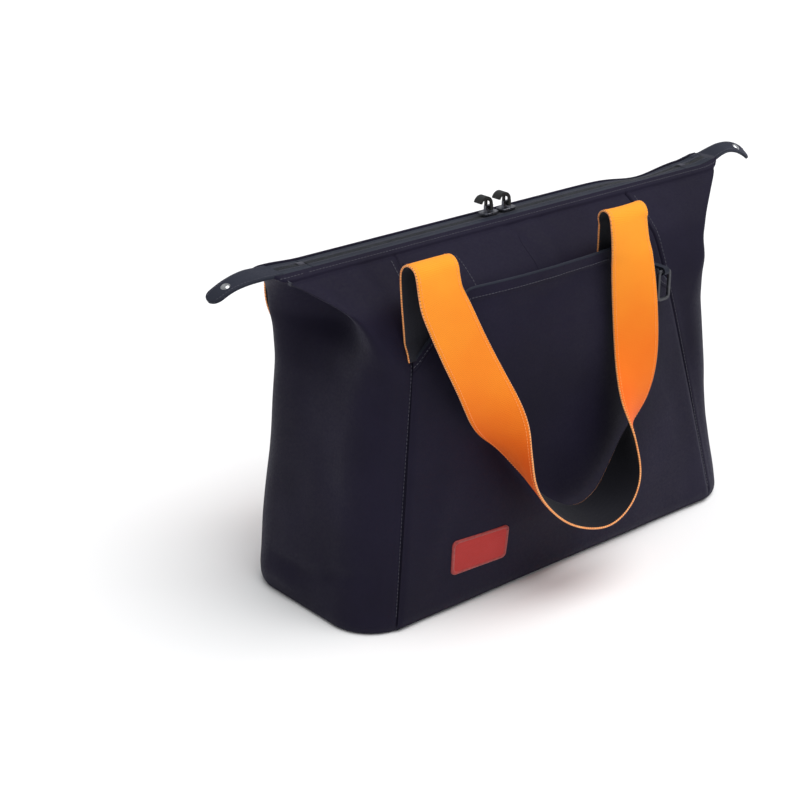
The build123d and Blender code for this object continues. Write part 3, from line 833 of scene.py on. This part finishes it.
def make_label():
    """A plain woven label with a raised sewn border."""
    low, high = (corner_point / MM for corner_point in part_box("front_label"))
    centre_x, centre_z = (low.x + high.x) / 2, (low.z + high.z) / 2
    half_x, half_z = (high.x - low.x) / 2, (high.z - low.z) / 2
    radius = 5.0
    columns = 120
    turns = np.linspace(0, 2 * pi, columns, endpoint=False)
    cx, cz = np.cos(turns), np.sin(turns)
    reach = np.stack([np.sign(cx) * (half_x - radius), np.sign(cz) * (half_z - radius)], 1)
    outline = reach + radius * np.stack([cx, cz], 1)
    build = Build()
    rings = []
    for inset, rise in ((0.0, -0.2), (0.0, 0.7), (0.5, 1.25), (1.4, 1.45), (2.3, 1.25),
                        (2.8, 0.85)):
        scale = np.array([(half_x - inset) / half_x, (half_z - inset) / half_z])
        flat = outline * scale
        points = sleeve_points(centre_x + flat[:, 0], centre_z + flat[:, 1], rise)
        rings.append(points)
    rings = np.array(rings)
    build.grid(rings, 1, rings, closed=True)
    field = []
    for share in np.linspace(1, 0, 14):
        flat = outline * np.array([(half_x - 2.8) / half_x, (half_z - 2.8) / half_z]) * share
        field.append(sleeve_points(centre_x + flat[:, 0], centre_z + flat[:, 1], 0.85))
    field = np.array(field)
    woven = np.stack([field[..., 0], field[..., 2], field[..., 1]], axis=-1)
    build.grid(field, 0, woven, closed=True)
    back = sleeve_points(centre_x + outline[:, 0], centre_z + outline[:, 1], -0.2)
    middle = sleeve_points(centre_x + 0 * outline[:, 0], centre_z + 0 * outline[:, 1], -0.2)
    back = np.array([middle, back])
    build.grid(back, 0, back, closed=True)
    satin = rings[1:5]
    normals = np.tile((0.0, -1.0, 0.0), (3, 1))
    for index in range(columns):
        pair = satin[[1, 3], index]
        step = satin[2, (index + 1) % columns] - satin[2, index]
        for share in (0.0, 0.5):
            ends = pair + step * share
            path = np.stack([ends[0], ends.mean(axis=0) + (0, -0.25 * MM, 0), ends[1]])
            add_tube(build, path, 0.32 * MM, 1, 5, normals=normals)
    piece = build.piece("plain_label", [label_red, label_edge])
    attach(piece, "bag")
    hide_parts("front_label")


make_label()


# ---------------------------------------------------------------- patches under the straps
STITCHED_RISE = 0.5             # a patch that stands lower than this shows no stitches, mm


def make_patch(name, node, inner_x, outer_x, foot, top, raised=1.0, back=False):
    """A sewn reinforcement patch with rounded inner corners, in mm on a long panel."""
    radius = 9.0
    columns, rows = 44, 24
    u = np.linspace(0, 1, columns)
    v = np.linspace(0, 1, rows)
    z = foot + v[:, None] * (top - foot) + 0 * u[None, :]
    side = -1 if inner_x > outer_x else 1
    edge = np.minimum(v, 1 - v) * (top - foot)
    round_in = radius - np.sqrt(np.maximum(radius**2 - np.maximum(radius - edge, 0) ** 2, 0))
    start = inner_x + side * round_in
    limit = -left_seam(z) + 3.5 if outer_x < inner_x else right_seam(z) - 3.5
    stop = np.maximum(limit, outer_x) if outer_x < inner_x else np.minimum(limit, outer_x)
    x = start[:, None] + u[None, :] * (stop - start[:, None])
    if side < 0:
        x = x[:, ::-1]
    grid, normals = (back_grid, back_normals) if back else (front_grid, front_normals)
    points, out = panel_spot(x, z, grid, normals)
    if back:
        points, out = points[:, ::-1], out[:, ::-1]
    outer, inner = points + out * raised * MM, points - out * 0.3 * MM
    build = Build()
    cloth = cloth_of(outer)
    build.grid(outer, 0, cloth)
    build.grid(inner, 0, cloth, flip=True)
    border = [(0, slice(None)), (slice(None), -1), (-1, slice(None, None, -1)),
              (slice(None, None, -1), 0)]
    for place in border:
        build.grid(np.stack([inner[place], outer[place]]), 0, np.stack([cloth[place]] * 2))
    if raised >= STITCHED_RISE:
        line = np.vstack([outer[2, 2:-2], outer[2:-2, -3], outer[-3, -3:2:-1], outer[-3:2:-1, 2]])
        up = np.vstack([out[2, 2:-2], out[2:-2, -3], out[-3, -3:2:-1], out[-3:2:-1, 2]])
        add_stitches(build, line, up, SEWN_STITCH, 1)
    piece = build.piece(name, [body_fabric, navy_thread])
    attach(piece, "bag")
    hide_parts(node)


make_patch("front_left_patch", "patch_front_left", -92, -190, 266, 311)
make_patch("front_right_patch", "patch_front_right", -21, 76, 266, 311, 0.25)
make_patch("back_left_patch", "patch_back_left", -96, -190, 178, 228, back=True)
make_patch("back_right_patch", "patch_back_right", -21, 76, 178, 228, back=True)


# ---------------------------------------------------------------- webbing
def add_ribbon(build, centre, wide, width, thick, kinds=(0, 1, 2), part=slice(None)):
    """A woven strap: outer face, inner face and rounded edges along part of a centreline."""
    tangents = unit(np.gradient(centre, axis=0))
    wide = unit(wide - tangents * (wide * tangents).sum(1, keepdims=True))
    out = np.cross(tangents, wide)
    half = np.broadcast_to(np.asarray(width, float) / 2, (len(centre),))[:, None]
    faces = np.linspace(-1, 1, 15)
    edge = np.linspace(0, pi, 7)[1:-1]
    section = [(f, 0.5 + 0.12 * (1 - f**4), kinds[0]) for f in faces]
    section += [(1 + 0.5 * sin(t) * 0.06, 0.5 * cos(t), kinds[2]) for t in edge]
    section += [(f, -0.5 - 0.05 * (1 - f**4), kinds[1]) for f in faces[::-1]]
    section += [(-1 - 0.5 * sin(t) * 0.06, -0.5 * cos(t), kinds[2]) for t in edge]
    ring = np.stack([centre + wide * half * f + out * thick * h for f, h, _ in section], 1)
    run = run_of(centre)
    across = np.array([f for f, _, _ in section])[None, :] * half
    ring, run, across = ring[part], run[part], across[part]
    cloth = np.stack([across, run[:, None] + 0 * across, 0 * across], 2)
    count = len(section)
    kinds_row = []
    for index in range(count):
        face_kind = kinds[2]
        if index < len(faces) - 1:
            face_kind = kinds[0]
        elif len(faces) + len(edge) <= index < 2 * len(faces) + len(edge) - 1:
            face_kind = kinds[1]
        kinds_row.append(face_kind)
    base = len(build.kinds)
    build.grid(ring, 0, cloth, closed=True)
    build.kinds[base:] = kinds_row * (len(ring) - 1)
    start = len(build.points) - ring.shape[0] * count
    build.faces.append(tuple(start + i for i in reversed(range(count))))
    build.faces.append(tuple(start + (len(ring) - 1) * count + i for i in range(count)))
    build.kinds += [kinds[2], kinds[2]]
    return wide[part], out[part]


def add_edge_threads(build, centre, wide, out, width, thick, kind, tooth_kind):
    """Edge stitching on the outer face, and the dark binding threads round each edge."""
    run = run_of(centre)
    for side in (-1, 1):
        line = centre + wide * side * (width / 2 - 2.6 * MM) + out * thick * 0.56
        add_stitches(build, line, out, WEBBING_STITCH, kind)
        for place in np.arange(1.1 * MM, run[-1], 2.2 * MM):
            at = [np.array([np.interp(place, run, v[:, k]) for k in range(3)])
                  for v in (centre, wide, out)]
            turns = np.linspace(-0.42 * pi, 0.42 * pi, 5)
            path = np.array([at[0] + at[1] * side * (width / 2 - 0.35 * MM
                                                    + 0.75 * MM * cos(t))
                             + at[2] * thick * 0.66 * sin(t) for t in turns])
            add_tube(build, path, 0.36 * MM, tooth_kind, 5,
                     normals=np.tile(at[1], (len(path), 1)))


# The hanging loop in its own plane: across, fall and the turn of the webbing in degrees,
# 0 where it faces out and 90 where it stands edge-on
LOOP_ROUTE = (
    (0.0, 0, 0), (0.6, 10, 0), (2.8, 24, 2), (11, 44, 6), (22, 70, 8), (35, 98, 12),
    (46, 122, 24), (57, 146, 50), (69, 174, 90), (85, 207, 114), (114, 241, 112),
    (153, 260, 102), (183, 254, 94), (202, 232, 84), (213, 198, 54), (221, 164, 12),
    (226, 126, -12), (227.5, 82, -17), (227, 40, -10), (226, 26, -3), (225.5, 12, 0),
    (225, 0, 0),
)
CUT_FALL = 13.0                 # the loop, which swings whole, starts this far below the fold


def make_handle(side, tag, left_x, feet, skews, fold_y, fold_z, foot_z, drop, replaced):
    """One handle: webbing that rises from the bag, folds over, hangs in a loop and returns.

    side is -1 at the front and 1 at the back. Places are in mm. feet are the x of the two
    sewn ends, and skews are how far each fold starts off its place.
    """
    down = np.array([0, side * sin(HANG), -cos(HANG)])
    outward = np.array([0, side * cos(HANG), sin(HANG)])
    across = np.array([1.0, 0, 0])
    fold_end = np.array([0, fold_y + side * FOLD_RADIUS * cos(HANG),
                         fold_z + FOLD_RADIUS * sin(HANG)])
    scale = drop / max(fall for _, fall, _ in LOOP_ROUTE)
    rows = spline([(left_x + x, fall * scale, turn) for x, fall, turn in LOOP_ROUTE], 330)
    heading = unit(np.gradient(rows[:, :2], axis=0))
    centre = fold_end + across * rows[:, :1] + down * rows[:, 1:2]
    turn = np.radians(rows[:, 2:3])
    side_way = across * heading[:, 1:2] - down * heading[:, :1]
    wide = side_way * np.cos(turn) + outward * np.sin(turn)

    turns = np.linspace(0, pi - HANG, 34)
    legs = []
    for x, foot, skew in zip((left_x, left_x + STRAP_SPREAD), feet, skews):
        z = np.linspace(foot_z, fold_z, 40)[:-1]
        share = (z - foot_z) / (fold_z - foot_z)
        stand = abs(fold_y) - FOLD_RADIUS
        y = side * np.maximum(half_depth(z) + 1.9, stand - 1.6 * (1 - share) ** 2)
        upright = np.stack([foot + (x + skew - foot) * smoothstep(0, 1, share), y, z], 1)
        over = np.stack([x + skew * (1 - turns / turns[-1]),
                         fold_y - side * FOLD_RADIUS * np.cos(turns),
                         fold_z + FOLD_RADIUS * np.sin(turns)], 1)
        legs.append(np.vstack([upright, over[:-1]]))
    path = np.vstack([legs[0], centre, legs[1][::-1]])
    wides = np.vstack([np.tile(across, (len(legs[0]), 1)), wide,
                       np.tile(-across, (len(legs[1]), 1))]) * -side
    run = resample(np.hstack([path, wides]), np.linspace(0, 1, 640))
    soft = np.ones(7) / 7
    run = np.stack([np.convolve(np.pad(run[:, k], 3, "edge"), soft, "valid")
                    for k in range(6)], 1)
    path = run[:, :3] * MM
    colours = [orange_webbing, navy_webbing, orange_thread, orange_thread, dark_thread]
    low = np.where(path[:, 2] < (fold_z - CUT_FALL) * MM)[0]
    outside = low[side * path[low, 1] > abs(fold_y) * MM]
    first, last = int(outside[0]), int(outside[-1])
    parts = (("loop", slice(first, last + 1)), ("left_fold", slice(0, first + 1)),
             ("right_fold", slice(last, None)))
    for (name, part), node in zip(parts, replaced):
        build = Build()
        wides, out = add_ribbon(build, path, run[:, 3:], WEBBING * MM, WEBBING_THICK * MM,
                                part=part)
        add_edge_threads(build, path[part], wides, out, WEBBING * MM, WEBBING_THICK * MM, 3, 4)
        piece = build.piece(f"{tag}_handle_{name}", colours)
        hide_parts(node)
        if name == "loop":
            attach(piece, f"handle_{tag}")
        else:
            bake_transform(piece)


anchor_low, anchor_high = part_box("anchor_front_left")
anchor_x = (anchor_low.x + anchor_high.x) / 2 / MM
make_handle(-1, "front", anchor_x + 1, feet=(-165, 60), skews=(0, 6), fold_y=-90.15,
            fold_z=324.0, foot_z=246.0, drop=258.0,
            replaced=("handle_front", "anchor_front_left", "anchor_front_right"))
make_handle(1, "back", anchor_x + 2, feet=(-170, 55), skews=(0, 0), fold_y=98.246,
            fold_z=272.0, foot_z=216.0, drop=240.0,
            replaced=("handle_back", "anchor_back_left", "anchor_back_right"))


# ---------------------------------------------------------------- zip
TAPE_GAP = 2.4                  # from the centre line to the inner edge of a tape, mm
TAPE_ROWS = (1.9, 3.1)          # the two rows of sewing, from that edge, mm


def add_coil(build, start, stop, y, kind):
    """A spiral nylon coil beside the centre line of the zip."""
    pitch = 1.45
    steps_a_turn = 12
    count = int((stop - start) / pitch * steps_a_turn)
    turn = np.arange(count + 1) * 2 * pi / steps_a_turn
    x = np.linspace(start, stop, count + 1)
    side = 1 if y > 0 else -1
    path = np.stack([x, y + 1.12 * np.cos(turn * side),
                     ZIP_Z / MM + 1.0 * np.sin(turn)], 1) * MM
    add_tube(build, settle(path), 0.36 * MM, kind, 6,
             normals=np.tile((1.0, 0.0, 0.0), (len(path), 1)))


def add_tape(build, start, stop, inner, outer):
    """A woven tape, flat but for its ridge of sewing beside the coil."""
    x = np.linspace(start, stop, max(8, int((stop - start) / 4)))
    low, high = min(inner, outer), max(inner, outer)
    y = np.linspace(low, high, 12)
    points = np.zeros((len(x), len(y), 3))
    points[..., 0] = x[:, None]
    points[..., 1] = y[None, :]
    points[..., 2] = ZIP_Z / MM + 0.45
    near = np.abs(np.abs(y) - min(abs(inner), abs(outer)))
    points[..., 2] += (0.45 * hump(1.2, 0.9, near))[None, :]
    top = settle(points * MM)
    under = top - np.array([0, 0, 1.0 * MM])
    cloth = np.stack([points[..., 0], points[..., 1], 0 * points[..., 0]], 2) * MM
    build.grid(top, 0, cloth, flip=True)
    build.grid(under, 0, cloth)
    for place, flip in (((0, slice(None)), False), ((-1, slice(None)), True),
                        ((slice(None), 0), True), ((slice(None), -1), False)):
        build.grid(np.stack([under[place], top[place]]), 0, np.stack([cloth[place]] * 2), flip)
    side = 1 if inner > 0 else -1
    for away in TAPE_ROWS:
        row = np.stack([x, np.full(len(x), inner + side * away), points[:, 0, 2] + 0.25], 1)
        add_stitches(build, settle(row * MM), np.tile((0, 0, 1.0), (len(x), 1)), TAPE_STITCH, 1)


def make_stringer(tag, side):
    """One side of the zip: its tape and its coil."""
    build = Build()
    half = STRINGER_HALF / MM
    add_tape(build, -half, half, side * TAPE_GAP, side * (FOLD_LINE_Y / MM + 0.6))
    piece = build.piece(f"{tag}_zip_tape", [tape_fabric, navy_thread])
    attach(piece, f"zip_{tag}")
    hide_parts(f"zip_tape_{tag}")
    build = Build()
    add_coil(build, -half + 1, half - 1, side * 1.55, 0)
    piece = build.piece(f"{tag}_zip_coil", [coil_nylon])
    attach(piece, f"zip_{tag}")
    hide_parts(f"zip_coil_{tag}")


make_stringer("front", -1)
make_stringer("back", 1)


def make_zip_end(tag, side):
    """The sewn-down end of the zip, with both coils and a bar tack across them."""
    low, high = (corner_point / MM for corner_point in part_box(f"zip_end_{tag}"))
    start, stop = (low.x, high.x) if side > 0 else (high.x, low.x)
    build = Build()
    ends = sorted((start + side * 0.4, stop))
    for tape_side in (1, -1):
        add_tape(build, *ends, tape_side * TAPE_GAP, tape_side * 12.6)
    for y in (-1.35, 1.35):
        add_coil(build, *ends, y, 2)
    for step in range(7):
        x = start + side * (2.0 + 0.9 * step)
        row = np.array([(x, y, ZIP_Z / MM + 1.0) for y in np.linspace(-4.2, 4.2, 6)])
        arch = row + np.array([(0, 0, 1.0 * cos(y / 4.2 * pi / 2)) for y in row[:, 1]])
        add_tube(build, settle(arch * MM), 0.42 * MM, 1, 6)
    piece = build.piece(f"{tag}_zip_end", [tape_fabric, navy_thread, coil_nylon])
    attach(piece, "bag")
    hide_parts(f"zip_end_{tag}")


make_zip_end("left", -1)
make_zip_end("right", 1)


# ---------------------------------------------------------------- wing tabs and studs
# Routes of the tabs, as (x, height, width, turn in degrees), mm
RIGHT_TAB = (
    (262, 321.5, 26, 0), (274, 323.5, 23, 2), (286, 326.5, 19, 7), (298, 328, 17, 14),
    (312, 326, 16, 25), (325, 320.5, 16, 32), (335, 313.5, 16, 34),
)
LEFT_TAB = (
    (-262, 321.5, 28, 0), (-273, 321.8, 28, 0), (-284, 322, 26, -2), (-296, 321, 22, -4),
    (-308, 318.4, 19, -5), (-319, 314, 18, -5), (-327, 309.5, 18, -5),
)
STUD_SHARE = 0.72               # how far along its tab a stud sits


def make_tab(tag, side, route):
    """A doubled tab of trim fabric with a rounded tip, edge stitching and a press stud."""
    rows = spline([(x, 0, z, wide, turn) for x, z, wide, turn in route], 90)
    centre = rows[:, :3] * MM
    tangents = unit(np.gradient(centre, axis=0))
    turn = np.radians(rows[:, 4:5])
    flat = np.array([0.0, side * 1.0, 0.0])
    lifted = unit(np.cross(tangents, np.tile(flat, (len(centre), 1))))
    wide = flat * np.cos(turn) + lifted * np.sin(turn)
    run = run_of(centre)
    left_over = run[-1] - run
    tip = rows[-1, 3] / 2 * MM
    rounding = np.sqrt(np.clip(1 - np.clip(1 - left_over / tip, 0, 1) ** 2, 0.01, 1))
    width = rows[:, 3] * MM * rounding
    build = Build()
    wide, out = add_ribbon(build, centre, wide, width, 2.4 * MM, (0, 0, 0))
    for edge in (-1, 1):
        keep = slice(4, len(centre) - 5)
        line = centre + wide * edge * (width[:, None] / 2 - 2.0 * MM) + out * 1.4 * MM
        add_stitches(build, line[keep], out[keep], TAB_STITCH, 1)
    piece = build.piece(f"{tag}_tab_cloth", [trim_fabric, navy_thread])
    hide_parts(f"tab_{tag}")
    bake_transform(piece)
    place = int(len(centre) * STUD_SHARE)
    make_stud(tag, centre[place], out[place], wide[place])


def make_stud(tag, centre, out, wide):
    """A press stud: a domed cap on one face and a socket on the other."""
    profile = ((0.0, 2.9), (1.4, 2.85), (2.8, 2.5), (3.8, 1.8), (4.2, 1.35), (4.0, 1.15),
               (1.6, 1.1), (1.6, -1.1), (4.0, -1.15), (4.2, -1.5), (3.7, -2.1), (2.6, -2.2),
               (2.2, -1.6), (0.9, -1.6), (0.7, -2.6), (0.0, -2.7))
    sides = 28
    turns = np.linspace(0, 2 * pi, sides, endpoint=False)
    along = np.cross(out, wide)
    rings = []
    for radius, height in profile:
        radius = max(radius, 0.01)
        rings.append(centre + (np.cos(turns)[:, None] * wide + np.sin(turns)[:, None] * along)
                     * radius * MM + out * height * MM)
    build = Build()
    build.grid(np.array(rings), 0, None, closed=True)
    piece = build.piece(f"{tag}_press_stud", [nickel], 40)
    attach(piece, f"tab_{tag}")
    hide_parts(f"stud_{tag}")


make_tab("right", 1, RIGHT_TAB)
make_tab("left", -1, LEFT_TAB)


# ---------------------------------------------------------------- CAD nodes that stay
def finish_node(node, material, bevel):
    """Gives a CAD node its material and eased edges. The node itself isn't changed."""
    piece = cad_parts[node]
    piece.data.materials.clear()
    piece.data.materials.append(material)
    ease = piece.modifiers.new("eased_edges", "BEVEL")
    ease.width = bevel * MM
    ease.segments = 3
    ease.limit_method = "ANGLE"
    ease.angle_limit = radians(40)
    ease.harden_normals = True


for end in ("left", "right"):
    finish_node(f"slider_{end}", gunmetal, 0.45)
    finish_node(f"pull_{end}", pull_rubber, 0.6)
finish_node("key_ring", ring_plastic, 0.3)
finish_node("key_tab", trim_fabric, 0.25)
finish_node("base_board", board_plastic, 0.4)


# ---------------------------------------------------------------- floor, light and camera
def make_floor():
    size = 16.0
    build = Build()
    corners = [(-size, -size, 0), (size, -size, 0), (size, size, 0), (-size, size, 0)]
    build.add(corners, [(0, 1, 2, 3)])
    paint = Paint("pale_floor")
    tone = paint.blend(paint.noise(0.6, 2.0), (0.87, 0.87, 0.87, 1), (0.9, 0.9, 0.9, 1))
    piece = build.piece("floor", [paint.set(Base_Color=tone, Roughness=0.9)])
    piece.location.z = -0.2 * MM


def make_sun():
    """Broad, soft light from above the front."""
    data = bpy.data.lights.new("sun", "SUN")
    data.energy = 2.7
    data.angle = radians(55)
    light = bpy.data.objects.new("sun", data)
    light.rotation_euler = Vector((0.14, -0.36, 1.0)).to_track_quat("Z", "Y").to_euler()
    bpy.context.scene.collection.objects.link(light)


def make_studio():
    world = bpy.data.worlds.new("studio")
    world.use_nodes = True
    world.node_tree.nodes["Background"].inputs["Color"].default_value = (0.97, 0.98, 1.0, 1.0)
    world.node_tree.nodes["Background"].inputs["Strength"].default_value = 0.5
    bpy.context.scene.world = world
    make_sun()
    bpy.context.scene.view_settings.view_transform = "Standard"


CAMERA_PLACE = (-1.1099, -1.1561, 0.8080)
CAMERA_AZIMUTH = radians(-40.4)
CAMERA_ELEVATION = radians(22.8)


def make_camera():
    data = bpy.data.cameras.new("camera")
    data.lens = 82.8
    data.sensor_width = 36.0
    data.clip_start, data.clip_end = 0.05, 60.0
    camera = bpy.data.objects.new("camera", data)
    flat = cos(CAMERA_ELEVATION)
    back = Vector((sin(CAMERA_AZIMUTH) * flat, -cos(CAMERA_AZIMUTH) * flat,
                   sin(CAMERA_ELEVATION)))
    camera.rotation_euler = (-back).to_track_quat("-Z", "Y").to_euler()
    camera.location = CAMERA_PLACE
    bpy.context.scene.collection.objects.link(camera)
    bpy.context.scene.camera = camera


make_floor()
make_studio()
make_camera()
